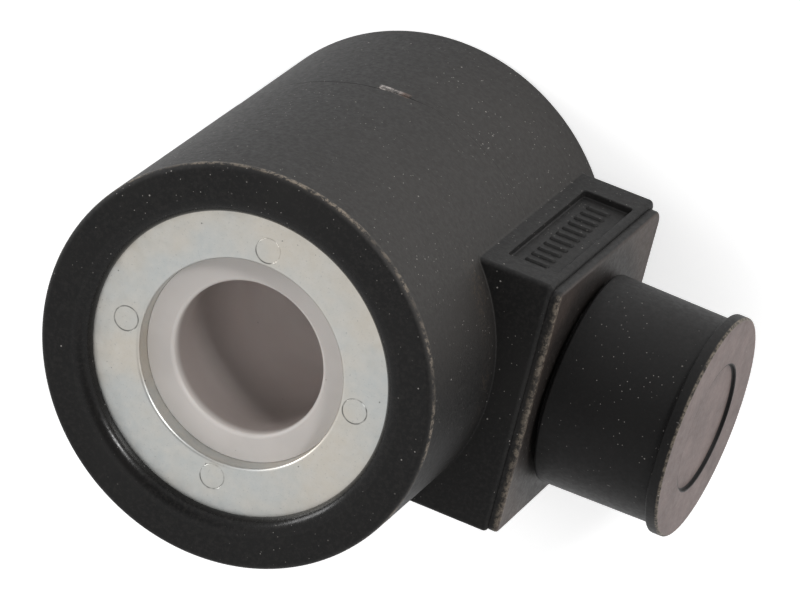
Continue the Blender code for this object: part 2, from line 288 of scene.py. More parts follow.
class Nodes:
    """A short way to write one material's nodes."""

    def __init__(self, name, colour, roughness, metallic=0.0):
        self.material = bpy.data.materials.new(name)
        self.material.use_nodes = True
        self.tree = self.material.node_tree
        self.shader = self.tree.nodes["Principled BSDF"]
        self.shader.inputs["Base Color"].default_value = (*colour, 1)
        self.shader.inputs["Roughness"].default_value = roughness
        self.shader.inputs["Metallic"].default_value = metallic
        self.place = self.add("ShaderNodeTexCoord").outputs["Object"]

    def add(self, kind, **settings):
        node = self.tree.nodes.new(kind)
        for key, value in settings.items():
            setattr(node, key, value)
        return node

    def link(self, source, target):
        self.tree.links.new(source, target)

    def stretched(self, scale, turn=(0, 0, 0)):
        """Object coordinates scaled along each axis."""
        mapping = self.add("ShaderNodeMapping")
        mapping.inputs["Scale"].default_value = scale
        mapping.inputs["Rotation"].default_value = turn
        self.link(self.place, mapping.inputs["Vector"])
        return mapping.outputs["Vector"]

    def noise(self, scale, detail=4.0, rough=0.55, vector=None):
        """Smooth noise from 0 to 1, with its scale in cycles per metre."""
        node = self.add("ShaderNodeTexNoise")
        node.inputs["Scale"].default_value = scale
        node.inputs["Detail"].default_value = detail
        node.inputs["Roughness"].default_value = rough
        self.link(vector or self.place, node.inputs["Vector"])
        return node.outputs["Fac"]

    def ramp(self, value, low, high, out_low=0.0, out_high=1.0):
        node = self.add("ShaderNodeMapRange", interpolation_type="SMOOTHSTEP")
        for key, number in zip(("From Min", "From Max", "To Min", "To Max"), (low, high, out_low, out_high)):
            node.inputs[key].default_value = number
        self.link(value, node.inputs["Value"])
        return node.outputs["Result"]

    def maths(self, operation, a, b=0.0):
        node = self.add("ShaderNodeMath", operation=operation)
        for socket, value in zip(node.inputs, (a, b)):
            if isinstance(value, (int, float)):
                socket.default_value = value
            else:
                self.link(value, socket)
        return node.outputs["Value"]

    def mix(self, share, a, b):
        """A colour between two colours or links."""
        node = self.add("ShaderNodeMix", data_type="RGBA")
        sockets = [s for s in node.inputs if s.type == "RGBA"]
        for socket, value in zip(sockets, (a, b)):
            if isinstance(value, tuple):
                socket.default_value = (*value, 1)
            else:
                self.link(value, socket)
        factor = [s for s in node.inputs if s.type == "VALUE"][0]
        if isinstance(share, (int, float)):
            factor.default_value = share
        else:
            self.link(share, factor)
        return [s for s in node.outputs if s.type == "RGBA"][0]

    def specks(self, scale, size, share, vector=None):
        """Sparse round spots: 1 inside a spot, 0 elsewhere. share is the part of cells that has one."""
        node = self.add("ShaderNodeTexVoronoi", feature="F1")
        node.inputs["Scale"].default_value = scale
        self.link(vector or self.place, node.inputs["Vector"])
        near = self.ramp(node.outputs["Distance"], size, size * 0.5)
        split = self.add("ShaderNodeSeparateColor")
        self.link(node.outputs["Color"], split.inputs["Color"])
        chosen = self.ramp(split.outputs["Red"], share, share * 0.9)
        return self.maths("MULTIPLY", near, chosen)

    def place_in_mm(self, axis_x):
        """Links to x, y and z in millimetres, with x measured from an axis."""
        split = self.add("ShaderNodeSeparateXYZ")
        self.link(self.place, split.inputs["Vector"])
        x, y, z = (self.maths("MULTIPLY", split.outputs[key], 1 / MM) for key in "XYZ")
        return self.maths("SUBTRACT", x, axis_x), y, z

    def radius_of(self, a, b):
        """The length of the vector (a, b)."""
        squares = self.maths("ADD", self.maths("MULTIPLY", a, a), self.maths("MULTIPLY", b, b))
        return self.maths("SQRT", squares)

    def bump(self, height, strength, distance, below=None):
        node = self.add("ShaderNodeBump")
        node.inputs["Strength"].default_value = strength
        node.inputs["Distance"].default_value = distance
        self.link(height, node.inputs["Height"])
        if below:
            self.link(below, node.inputs["Normal"])
        return node.outputs["Normal"]

    def done(self, colour=None, roughness=None, normal=None):
        for key, value in (("Base Color", colour), ("Roughness", roughness), ("Normal", normal)):
            if value is not None:
                self.link(value, self.shader.inputs[key])
        return self.material


def speckled(n, colour, dust_colour, amount):
    """Lays dust over a colour: clustered pale specks of two sizes and faint stretched ones."""
    cluster = n.ramp(n.noise(75, 3), 0.40, 0.62)
    spots = n.specks(640, 0.085, 0.45)
    spots = n.maths("MULTIPLY", spots, n.ramp(n.noise(900, 2), 0.42, 0.60, 0.2, 1.0))
    tiny = n.maths("MULTIPLY", n.specks(1500, 0.12, 0.60), cluster)
    hairs = n.specks(420, 0.045, 0.35, n.stretched((1, 1, 0.30), (0.5, 0.9, 0.3)))
    hairs = n.maths("MAXIMUM", hairs, n.specks(420, 0.04, 0.35, n.stretched((0.30, 1, 1), (0.2, 1.9, 0.7))))
    hairs = n.maths("MULTIPLY", hairs, 0.45)
    marks = n.maths("MAXIMUM", n.maths("MAXIMUM", spots, tiny), hairs)
    return n.mix(n.maths("MULTIPLY", marks, amount), colour, dust_colour), marks


def moulded(n, colour, dust_colour, haze, roughness, grain):
    """Moulded black plastic: fine grain, a faint mottle and patchy gloss under the dust."""
    mottle = n.ramp(n.noise(2200, 4, 0.7), 0.42, 0.66, 0.0, haze * 1.6)
    cloud = n.ramp(n.noise(70, 3), 0.40, 0.75, 0.0, haze)
    hazed = n.mix(n.maths("MAXIMUM", mottle, cloud), colour, dust_colour)
    dull = n.ramp(n.noise(1500, 4, 0.7), 0.30, 0.7, roughness - 0.05, roughness + 0.06)
    normal = n.bump(n.noise(2600, 3), grain, 0.00004)
    return hazed, dull, n.bump(n.noise(240, 2), 0.05, 0.00010, normal)


def black_nylon(name):
    """The overmoulding: dusty black, with painted light on its side, a glossier lip, a worn rim with a
    painted highlight, grime by the block and a torn gate.
    """
    n = Nodes(name, BLACK, 0.62)
    n.shader.inputs["Specular IOR Level"].default_value = BLACK_SPECULAR
    colour, dull, normal = moulded(n, BLACK, HAZE, 0.08, 0.62, 0.34)
    x, y, z = n.place_in_mm(BORE_X)
    radius = n.radius_of(x, y)
    # Dust and painted light on the cylinder's side: it is lighter towards +Y and the connector, where the
    # light falls.
    side = n.maths("MULTIPLY", n.ramp(radius, BODY_RADIUS - 0.5, BODY_RADIUS - 0.1),
                   n.ramp(radius, BODY_RADIUS + 0.25, BODY_RADIUS + 0.05))
    side = n.maths("MULTIPLY", side, n.ramp(x, -12.0, 16.0, 0.0, 0.28))
    side = n.maths("MULTIPLY", side, n.ramp(y, 0.0, 15.0))
    colour = n.mix(side, colour, HAZE)
    # The lip round the plate is glossier.
    lip = n.ramp(radius, LIP_RADIUS + LIP_ROUNDING + 0.5, LIP_RADIUS + LIP_ROUNDING)
    dull = n.maths("SUBTRACT", dull, n.maths("MULTIPLY", lip, 0.38))
    # Grime on the cylinder in a loose band above the block, thickest a few millimetres from it.
    above = n.maths("ABSOLUTE", n.maths("SUBTRACT", z, BLOCK_Z[1] + 2.6))
    band = n.maths("MULTIPLY", n.ramp(above, 2.4, 0.9), n.ramp(x, 17.5, 20.5))
    band = n.maths("MULTIPLY", band, n.ramp(n.noise(2100, 5, 0.8), 0.50, 0.62, 0.0, 0.4))
    band = n.maths("MULTIPLY", band, n.ramp(n.noise(110, 2), 0.40, 0.62, 0.15, 1.0))
    colour = n.mix(band, colour, GRIME)
    # A worn, dusty line with a painted highlight where the side meets the front rim.
    rim = n.maths("ABSOLUTE", n.maths("SUBTRACT", z, BODY_HEIGHT - 0.72))
    rim = n.maths("MULTIPLY", n.ramp(rim, 0.46, 0.16), n.ramp(radius, 24.2, 24.5))
    rim = n.maths("MULTIPLY", rim, n.ramp(n.noise(1500, 6, 0.8), 0.44, 0.56, 0.0, 0.9))
    rim = n.maths("MULTIPLY", rim, n.ramp(n.noise(140, 2), 0.36, 0.60, 0.25, 1.0))
    colour = n.mix(rim, colour, WEAR_AND_HIGHLIGHT)
    colour, marks = speckled(n, colour, DUST, 0.75)
    # The torn end of the moulding gate.
    gate = n.ramp(n.maths("ABSOLUTE", n.maths("SUBTRACT", x, GATE_X)), GATE_HALF + 0.15, GATE_HALF - 0.2)
    gate = n.maths("MULTIPLY", gate, n.ramp(n.maths("ABSOLUTE", n.maths("SUBTRACT", z, GATE_Z)), 0.80, 0.50))
    gate = n.maths("MULTIPLY", gate, n.ramp(y, BODY_RADIUS - 1.0, BODY_RADIUS - 0.5))
    gate = n.maths("MULTIPLY", gate, n.ramp(n.noise(1300, 4, 0.8), 0.40, 0.60, 0.05, 1.0))
    colour = n.mix(gate, colour, n.mix(n.ramp(x, GATE_X + 0.2, GATE_X + 1.3), TORN, TORN_BROWN))
    return n.done(colour, dull, n.bump(marks, 0.3, 0.00006, normal))


def black_flange(name):
    """The block's stepped end plate, with a warm grey layer of dust on its face away from the cap, thinner
    near the cap as painted shade, and a painted highlight on its front edge.
    """
    n = Nodes(name, BLACK, 0.52)
    n.shader.inputs["Specular IOR Level"].default_value = BLACK_SPECULAR
    colour, dull, normal = moulded(n, BLACK, HAZE, 0.12, 0.52, 0.35)
    x, y, z = n.place_in_mm(BORE_X)
    face = n.ramp(x, FLANGE_OUTER_FACE - 0.30, FLANGE_OUTER_FACE - 0.02)
    face = n.maths("MULTIPLY", face, n.ramp(x, FLANGE_OUTER_FACE + 0.15, FLANGE_OUTER_FACE + 0.05))
    radius = n.radius_of(n.maths("SUBTRACT", y, CONNECTOR_Y), n.maths("SUBTRACT", z, CONNECTOR_Z))
    dust_and_painted_light = n.maths("MULTIPLY", face, n.ramp(n.noise(240, 6, 0.7), 0.30, 0.75, 0.6, 1.0))
    # Darker near the cap's root: painted shade where the cap shades the face.
    dust_and_painted_light = n.maths("MULTIPLY", dust_and_painted_light, n.ramp(radius, CAP_RADII[0] + 1.0, CAP_RADII[0] + 6.0, 0.2, 1.0))
    corner = n.radius_of(n.maths("SUBTRACT", y, BLOCK_Y[1] - 3.0), n.maths("SUBTRACT", z, BLOCK_Z[1] - 3.0))
    dust_and_painted_light = n.maths("MULTIPLY", dust_and_painted_light, n.ramp(corner, 4.0, 12.0, 0.6, 1.0))
    colour = n.mix(dust_and_painted_light, colour, FILM)
    # The edge nearest the front face is rubbed and dusty, with a painted highlight along it.
    edge = n.maths("MULTIPLY", n.ramp(z, BLOCK_Z[1] - 1.3, BLOCK_Z[1] - 0.7),
                   n.ramp(x, FLANGE_OUTER_FACE - 0.9, FLANGE_OUTER_FACE - 0.3))
    edge = n.maths("MULTIPLY", edge, n.ramp(n.noise(1500, 6, 0.8), 0.44, 0.60, 0.05, 0.75))
    colour = n.mix(edge, colour, WEAR_AND_HIGHLIGHT)
    colour, marks = speckled(n, colour, DUST, 0.7)
    return n.done(colour, dull, n.bump(marks, 0.3, 0.00006, normal))


def black_cap(name):
    """The soft cap: smoother and darker than the nylon, with a dusty end lightened as a painted reflection,
    and a scuffed rim.
    """
    n = Nodes(name, CAP_BLACK, 0.56)
    n.shader.inputs["Specular IOR Level"].default_value = BLACK_SPECULAR
    colour, dull, normal = moulded(n, CAP_BLACK, HAZE, 0.03, 0.56, 0.18)
    x, y, z = n.place_in_mm(BORE_X)
    end = n.ramp(x, CAP_END - CAP_DISH_DEPTH - 0.06, CAP_END - CAP_DISH_DEPTH - 0.01)
    radius = n.radius_of(n.maths("SUBTRACT", y, CONNECTOR_Y), n.maths("SUBTRACT", z, CONNECTOR_Z))
    end = n.maths("MULTIPLY", end, n.ramp(radius, CAP_FLANGE_RADIUS - 0.1, CAP_FLANGE_RADIUS - 0.35))
    step = n.maths("ABSOLUTE", n.maths("SUBTRACT", radius, CAP_DISH_RADIUS - 0.10))
    end = n.maths("MULTIPLY", end, n.ramp(step, 0.12, 0.24))
    # Dust on the end face, light enough to serve as a painted reflection of the bright room as well.
    dust_and_painted_light = n.maths("MULTIPLY", end, n.ramp(n.noise(190, 6, 0.7), 0.28, 0.75, 0.6, 1.0))
    colour = n.mix(dust_and_painted_light, colour, CAP_DUST_AND_REFLECTION)
    edge = n.maths("MULTIPLY", n.ramp(radius, CAP_FLANGE_RADIUS - 0.45, CAP_FLANGE_RADIUS - 0.20),
                   n.ramp(x, CAP_END - 0.40, CAP_END - 0.20))
    edge = n.maths("MULTIPLY", edge, n.ramp(n.noise(1300, 6, 0.8), 0.42, 0.58, 0.05, 0.8))
    colour = n.mix(edge, colour, WEAR_AND_HIGHLIGHT)
    colour, marks = speckled(n, colour, DUST, 0.55)
    return n.done(colour, dull, n.bump(marks, 0.3, 0.00006, normal))


def zinc(name):
    """Bright passivated zinc: fine grain, faint blue and straw tints, pits, and round punch marks with
    painted shade in their grooves.
    """
    n = Nodes(name, (0.60, 0.59, 0.56), 0.36, 1.0)
    tint = n.mix(n.ramp(n.noise(85, 4), 0.36, 0.62), (0.58, 0.60, 0.59), (0.66, 0.62, 0.55))
    mottle = n.mix(n.ramp(n.noise(800, 6, 0.75), 0.30, 0.75, 0.0, 0.5), tint, (0.71, 0.69, 0.65))
    grain = n.ramp(n.noise(3600, 3, 0.7), 0.60, 0.72, 0.0, 0.5)
    colour = n.mix(grain, mottle, (0.36, 0.37, 0.37))
    x, y, _ = n.place_in_mm(BORE_X)
    along, across = n.maths("ABSOLUTE", x), n.maths("ABSOLUTE", y)
    far, near = n.maths("MAXIMUM", along, across), n.maths("MINIMUM", along, across)
    reach = n.radius_of(n.maths("SUBTRACT", far, MARK_CIRCLE), near)
    # A dark line along each mark's groove: painted shade in the crease.
    line = n.ramp(n.maths("ABSOLUTE", n.maths("SUBTRACT", reach, MARK_RADIUS)), 0.13, 0.04)
    line = n.maths("MULTIPLY", line, n.ramp(n.noise(330, 3), 0.42, 0.56, 0.05, 1.0))
    pits = n.specks(800, 0.10, 0.16)
    stains = n.maths("MULTIPLY", n.specks(1600, 0.13, 0.5), n.ramp(n.noise(120, 3), 0.52, 0.62))
    dark = n.maths("MAXIMUM", line, n.maths("MAXIMUM", pits, n.maths("MULTIPLY", stains, 0.7)))
    colour = n.mix(n.maths("MULTIPLY", dark, 0.8), colour, (0.15, 0.15, 0.14))
    dull = n.ramp(n.noise(700, 6, 0.7), 0.25, 0.8, 0.36, 0.54)
    normal = n.bump(n.noise(2400, 4), 0.30, 0.00003)
    return n.done(colour, dull, n.bump(dark, -0.5, 0.00006, normal))


def white_nylon(name):
    """Natural nylon, a little pink; inside the bore, painted brown-grey shade towards its two ends and
    painted light in its middle.
    """
    n = Nodes(name, RING_WHITE, 0.42)
    n.shader.inputs["Subsurface Weight"].default_value = 0.15
    n.shader.inputs["Subsurface Radius"].default_value = (0.0018, 0.0013, 0.0010)
    n.shader.inputs["Subsurface Scale"].default_value = 1.0
    z = n.place_in_mm(BORE_X)[2]
    clean = n.mix(n.ramp(n.noise(90, 4), 0.35, 0.7), RING_WHITE, tuple(c * 0.90 for c in RING_WHITE))
    # Painted light and shade in the bore: brown-grey towards its two ends, much lighter in its middle.
    from_middle = n.maths("ABSOLUTE", n.maths("SUBTRACT", z, BODY_HEIGHT / 2))
    bore_light_and_shade = n.mix(n.ramp(from_middle, 20.0, 4.0), BORE_PAINTED_SHADE, BORE_PAINTED_LIGHT)
    bore_light_and_shade = n.mix(n.ramp(n.noise(60, 4), 0.35, 0.7, 0.0, 0.12), bore_light_and_shade, BORE_PAINTED_SHADE)
    # Just inside each mouth, the ring's colour gives way to the bore's painted shade.
    mouth = BODY_HEIGHT / 2 - BOBBIN_RECESS
    colour = n.mix(n.ramp(from_middle, mouth - 0.3, mouth - 1.9), clean, bore_light_and_shade)
    specks = n.specks(700, 0.08, 0.12)
    colour = n.mix(n.maths("MULTIPLY", specks, 0.6), colour, (0.20, 0.17, 0.14))
    dull = n.ramp(n.noise(400, 4), 0.3, 0.7, 0.38, 0.52)
    return n.done(colour, dull, n.bump(n.noise(1500, 3), 0.15, 0.00003))


def brushed(name, colour, roughness, around):
    """Turned or drawn metal with fine lines; around stretches the lines along one axis."""
    n = Nodes(name, colour, roughness, 1.0)
    lines = n.noise(1.0, 4, 0.6, n.stretched(around))
    dull = n.ramp(lines, 0.3, 0.7, roughness - 0.08, roughness + 0.1)
    tone = n.mix(n.ramp(n.noise(160, 4), 0.3, 0.7), colour, tuple(c * 0.8 for c in colour))
    return n.done(tone, dull, n.bump(lines, 0.25, 0.00003))


def copper_wire(name):
    """Enamelled wire wound round the bobbin: turns stacked along Z."""
    n = Nodes(name, (0.55, 0.20, 0.08), 0.28, 1.0)
    wave = n.add("ShaderNodeTexWave", bands_direction="Z", wave_profile="SIN")
    wave.inputs["Scale"].default_value = 500
    wave.inputs["Distortion"].default_value = 0.6
    n.link(n.place, wave.inputs["Vector"])
    tone = n.mix(wave.outputs["Fac"], (0.22, 0.06, 0.02), (0.62, 0.24, 0.10))
    return n.done(tone, n.ramp(n.noise(300), 0.3, 0.7, 0.22, 0.38), n.bump(wave.outputs["Fac"], 0.6, 0.00012))


def plain(name, colour, roughness, metallic=0.0, grain=900):
    """A small inner piece: its colour and gloss vary a little."""
    n = Nodes(name, colour, roughness, metallic)
    tone = n.mix(n.ramp(n.noise(grain / 4, 4), 0.3, 0.7), colour, tuple(c * 0.75 for c in colour))
    dull = n.ramp(n.noise(grain, 4), 0.3, 0.7, roughness - 0.05, roughness + 0.08)
    return n.done(tone, dull, n.bump(n.noise(grain * 2, 3), 0.2, 0.00003))


BLACK_NYLON = black_nylon("black_nylon")
BLACK_FLANGE = black_flange("black_flange")
BLACK_CAP = black_cap("black_cap")
ZINC = zinc("zinc_plate")
WHITE_NYLON = white_nylon("white_nylon")
STEEL = brushed("yoke_steel", (0.45, 0.45, 0.46), 0.38, (300, 300, 4000))
COPPER = copper_wire("enamelled_copper")
TAPE = plain("winding_tape", (0.75, 0.55, 0.10), 0.32)
TIN = brushed("tinned_brass", (0.72, 0.70, 0.66), 0.28, (600, 5000, 5000))
SLEEVING = plain("sleeving", (0.62, 0.58, 0.48), 0.70, grain=3000)
CARRIER = plain("carrier_nylon", (0.06, 0.06, 0.065), 0.50)
DIODE = plain("diode_epoxy", (0.02, 0.02, 0.02), 0.30)


# ---------------------------------------------------------------- housing


def wall_to_cylinder(y):
    """Distance along +X from the bore axis to the cylinder's surface at this y."""
    return math.sqrt(BODY_RADIUS**2 - y * y)


def block_shape():
    """The connector block: it flares into the cylinder and has a rounded outer end."""
    corners, fillet, end_round = (1.3, 0.6, 0.6, 1.3), 0.20, 0.6
    end = BLOCK_END + GAP * 0.7
    loops = []

    def level(grow, distance=None, x=None):
        loop = rounded_rectangle(BLOCK_Y, BLOCK_Z, corners, grow)
        loops.append([(wall_to_cylinder(y) + distance if x is None else x, y, z) for y, z in loop])

    start = math.radians(18)
    level(fillet * (1 - math.sin(start)), -1.3)
    for i in range(7):
        turn = start + (math.pi / 2 - start) * i / 6
        level(fillet * (1 - math.sin(turn)), fillet * (1 - math.cos(turn)))
    for i in range(6):
        turn = math.pi / 2 * i / 5
        level(-end_round * (1 - math.cos(turn)), x=end - end_round * (1 - math.sin(turn)))
    return loft("block_shape", loops, BORE_FRAME)


def label_tool():
    """Cuts the label recess in the block's +Y face, with soft edges at its mouth."""
    floor, face, soft = BLOCK_Y[1] - LABEL_DEPTH, BLOCK_Y[1], 0.18
    levels = [(-0.15, floor), (0.0, floor + 0.12), (0.03, face - soft)]
    for i in range(1, 5):
        turn = math.pi / 2 * i / 4
        levels.append((0.03 + soft * (1 - math.cos(turn)), face - soft * (1 - math.sin(turn))))
    levels.append((0.03 + soft, face + 1))
    loops = []
    for grow, y in levels:
        loop = rounded_rectangle(LABEL_Z, LABEL_X, [0.35] * 4, grow, 4, 6)
        loops.append([(x, y, z) for z, x in loop])
    return loft("label_tool", loops, BORE_FRAME)


def label_ribs():
    """A plain row of raised bars in the recess, where the real one has raised lettering."""
    count, width, floor = 11, 1.0, BLOCK_Y[1] - LABEL_DEPTH
    low, high = LABEL_Z[0] + 2.6, LABEL_Z[1] - 2.6
    across = (LABEL_X[0] + 1.5, LABEL_X[1] - 1.9)
    levels = [(0.1, floor - 0.3), (0.06, floor + 0.03), (-0.04, floor + 0.15), (-0.22, floor + 0.27)]
    bars = []
    for i in range(count):
        middle = low + (high - low) * i / (count - 1)
        along = (middle - width / 2, middle + width / 2)
        loops = []
        for grow, y in levels:
            loop = rounded_rectangle(along, across, [0.3] * 4, grow, 4, 2)
            loops.append([(x, y, z) for z, x in loop])
        bars.append(loft(f"bar_{i}", loops, BORE_FRAME))
    return bars


def parting_line(angle, radius, height):
    """The mould's parting line bows upwards on the +Y side and fades out towards the block."""
    if abs(height - SEAM_HEIGHT) < 0.3:
        turn = math.degrees(angle)
        bow = math.sin(math.radians(min(max((turn - 80) / 66, 0), 1) * 180))
        height += 1.4 * bow + 0.05 * math.sin(9 * angle) + 0.03 * math.sin(31 * angle)
        strength = min(max((turn - 80) / 13, 0), 1) if turn < 200 else 0.4
        radius = BODY_RADIUS - (BODY_RADIUS - radius) * (0.25 + 0.75 * strength)
    return radius, height


def torn_gate():
    """A short ragged ridge on the parting line, where the moulding gate was broken off."""
    rng = random.Random(7)
    count, loops = 15, []
    for i in range(count):
        along = i / (count - 1)
        x = GATE_X + GATE_HALF * (2 * along - 1)
        wall = math.sqrt(BODY_RADIUS**2 - x * x) - 0.02
        half = 0.28 + 0.26 * math.sin(math.pi * along) ** 2 + rng.uniform(-0.07, 0.07)
        middle = GATE_Z - 0.35 * (along - 0.45) + rng.uniform(-0.07, 0.07)
        rise = 0.07 + rng.uniform(0.0, 0.07) * math.sin(math.pi * along)
        outline = [(-1, -0.4), (1, -0.4), (0.95, rise * 0.3)]
        outline += [(0.45, rise), (-0.2, rise * 0.7), (-0.9, rise * 0.5)]
        loops.append([(x, min(wall + height, BODY_RADIUS), middle - half * side) for side, height in outline])
    return loft("gate_tool", loops, BORE_FRAME)


def make_housing():
    """The overmoulded body: cylinder, block, gate, pocket for the coil, connector seat and label."""
    top, edge = BODY_HEIGHT, RIM_ROUNDING
    seam = SEAM_HEIGHT
    profile = [(0, top)]
    profile += arc((BODY_RADIUS - edge, top - edge), edge, 90, 0)
    profile += [(BODY_RADIUS, seam + 0.13), (BODY_RADIUS - 0.16, seam + 0.03)]
    profile += [(BODY_RADIUS - 0.16, seam - 0.03), (BODY_RADIUS - 0.04, seam - 0.12)]
    profile += arc((BODY_RADIUS - edge, edge), edge, 0, -90)
    profile += [(0, 0)]
    housing = lathe("housing_shell", profile, 256, BORE_FRAME, parting_line)
    boolean(housing, torn_gate(), "UNION")
    boolean(housing, block_shape(), "UNION")

    lip, soft = LIP_RADIUS, LIP_ROUNDING
    shoulder = PLATE_RECESS - 0.02
    pocket = YOKE_RADIUS + GAP
    profile = [(0, top + 1), (lip + soft, top + 1)]
    profile += arc((lip + soft, top - soft), soft, 90, 180)
    profile += [(lip, top - shoulder), (pocket, top - shoulder), (pocket, shoulder), (lip, shoulder)]
    profile += arc((lip + soft, soft), soft, 180, 270)
    profile += [(lip + soft, -1), (0, -1)]
    boolean(housing, lathe("pocket_tool", profile, 256, BORE_FRAME))

    seat, back = SHELL_RADIUS + GAP, SHELL_START - GAP
    chamber, far = seat - 2, BLOCK_END + 2
    profile = [(0, far), (seat, far), (seat, back), (chamber, back), (chamber, 15), (0, 15)]
    boolean(housing, lathe("connector_tool", profile, 96, CONNECTOR_FRAME))
    boolean(housing, label_tool())
    for bar in label_ribs():
        boolean(housing, bar, "UNION")
    finish_piece(housing, "housing", BLACK_NYLON)


# ---------------------------------------------------------------- plates and bobbin


def make_plate(name, node, low, high, facing):
    """A plated washer with four shallow round marks on its outer side.

    facing is 1 at the front and -1 at the rear.
    """
    loop = [(YOKE_RADIUS, high), (YOKE_RADIUS, low), (PLATE_HOLE_RADIUS, low), (PLATE_HOLE_RADIUS, high)]
    plate = lathe(name, rounded(loop, 0.5, 6), 256, BORE_FRAME)
    # The tool's corners stay off the plate's face: with corners in that plane, one cut went right through.
    inner, outer = MARK_RADIUS - MARK_TOOL_HALF, MARK_RADIUS + MARK_TOOL_HALF
    groove = [(outer, MARK_TOOL_TOP), (outer, MARK_TOOL_SHOULDER), (MARK_RADIUS, -MARK_DEPTH)]
    groove += [(inner, MARK_TOOL_SHOULDER), (inner, MARK_TOOL_TOP)]
    groove = [(radius, height * facing) for radius, height in groove[::facing]]
    face = high if facing > 0 else low
    for i in range(4):
        angle = math.pi / 2 * i
        spot = Matrix.Translation(
            Vector((MARK_CIRCLE * math.cos(angle), MARK_CIRCLE * math.sin(angle), face)) * MM
        )
        spin = Matrix.Rotation(math.radians(2 + i), 4, "Z")
        mark = lathe("mark_tool", groove, 64, BORE_FRAME @ spot @ spin)
        boolean(plate, mark)
    finish_piece(plate, node, ZINC)


def make_bobbin():
    """The white spool: only its end rings and its bore show."""
    low, high = BOBBIN_RECESS, BODY_HEIGHT - BOBBIN_RECESS
    neck, soft = PLATE_HOLE_RADIUS - 0.005, MOUTH_ROUNDING
    flange, tube, thick = 18.9, BORE_RADIUS + 2.05, 1.5
    bottom = PLATE_RECESS + PLATE_THICKNESS + GAP
    top = BODY_HEIGHT - bottom
    mouth = BORE_RADIUS + soft
    profile = arc((neck - 0.08, high - 0.08), 0.08, 90, 0, 4)
    profile += [(neck, top), (flange, top), (flange, top - thick), (tube, top - thick)]
    profile += [(tube, bottom + thick), (flange, bottom + thick), (flange, bottom), (neck, bottom)]
    profile += arc((neck - 0.08, low + 0.08), 0.08, 0, -90, 4)
    profile += arc((mouth, low + soft), soft, 270, 180, 10)
    profile += arc((mouth, high - soft), soft, 180, 90, 10)
    bobbin = lathe("bobbin_spool", profile, 192, BORE_FRAME)
    finish_piece(bobbin, "bobbin", WHITE_NYLON)


# ---------------------------------------------------------------- connector and cap


def make_receptacle():
    """The stepped end plate of the block and the round shell on it, with bayonet lugs."""
    sides = (BLOCK_Y[0] + FLANGE_SHIFT, BLOCK_Y[1] - FLANGE_INSET)
    ends = (BLOCK_Z[0] + FLANGE_SHIFT, BLOCK_Z[1] - FLANGE_INSET / 2)
    near, far, soft = BLOCK_END + GAP * 0.75, FLANGE_OUTER_FACE, 0.45
    corners = (2.0, 1.2, 0.9, 1.2)
    loops = [[(near, y, z) for y, z in rounded_rectangle(sides, ends, corners, 0, 6, 4)]]
    for i in range(6):
        turn = math.pi / 2 * i / 5
        grow = -soft * (1 - math.cos(turn))
        x = far - soft * (1 - math.sin(turn))
        loops.append([(x, y, z) for y, z in rounded_rectangle(sides, ends, corners, grow, 6, 4)])
    receptacle = loft("receptacle", loops, BORE_FRAME)

    outer, inner = SHELL_RADIUS, SHELL_RADIUS - SHELL_WALL
    profile = [(0, SHELL_END), *arc((outer - 0.4, SHELL_END - 0.4), 0.4, 90, 0, 5)]
    profile += [(outer, FLANGE_OUTER_FACE - 0.2), (outer, SHELL_START), (0, SHELL_START)]
    boolean(receptacle, lathe("shell_tool", profile, 128, CONNECTOR_FRAME), "UNION")
    for i in range(3):
        angle = 2 * math.pi * i / 3 + math.radians(LUG_TURN)
        spot = Vector((math.cos(angle), math.sin(angle), 0)) * (outer - 0.5)
        spot.z = SHELL_END - 3.5
        turn = Matrix.Rotation(angle, 4, "Z") @ Matrix.Rotation(math.pi / 2, 4, "Y")
        lug = [(0, 1.0), *arc((1.15, 0.75), 0.25, 90, 0, 4), (1.4, -1.0), (0, -1.0)]
        place = CONNECTOR_FRAME @ Matrix.Translation(spot * MM) @ turn
        boolean(receptacle, lathe("lug_tool", lug, 40, place), "UNION")
    profile = [(0, SHELL_END + 1), (inner + 0.4, SHELL_END + 1)]
    profile += arc((inner + 0.4, SHELL_END - 0.4), 0.4, 90, 180, 5)
    profile += [*arc((inner - 0.3, WEB[1] + 0.3), 0.3, 0, -90, 4), (0, WEB[1])]
    boolean(receptacle, lathe("socket_tool", profile, 128, CONNECTOR_FRAME))
    profile = [(0, WEB[0]), (inner, WEB[0]), (inner, SHELL_START - 1), (0, SHELL_START - 1)]
    boolean(receptacle, lathe("seat_tool", profile, 128, CONNECTOR_FRAME))
    for side in (-1, 1):
        spot = Matrix.Translation(Vector((0, side * PIN_SPACING / 2, 0)) * MM)
        high, low = WEB[1] + 1, WEB[0] - 1
        hole = [(0, high), (PIN_HOLE_RADIUS, high), (PIN_HOLE_RADIUS, low), (0, low)]
        boolean(receptacle, lathe("hole_tool", hole, 40, CONNECTOR_FRAME @ spot))
    finish_piece(receptacle, "connector_receptacle", BLACK_FLANGE)


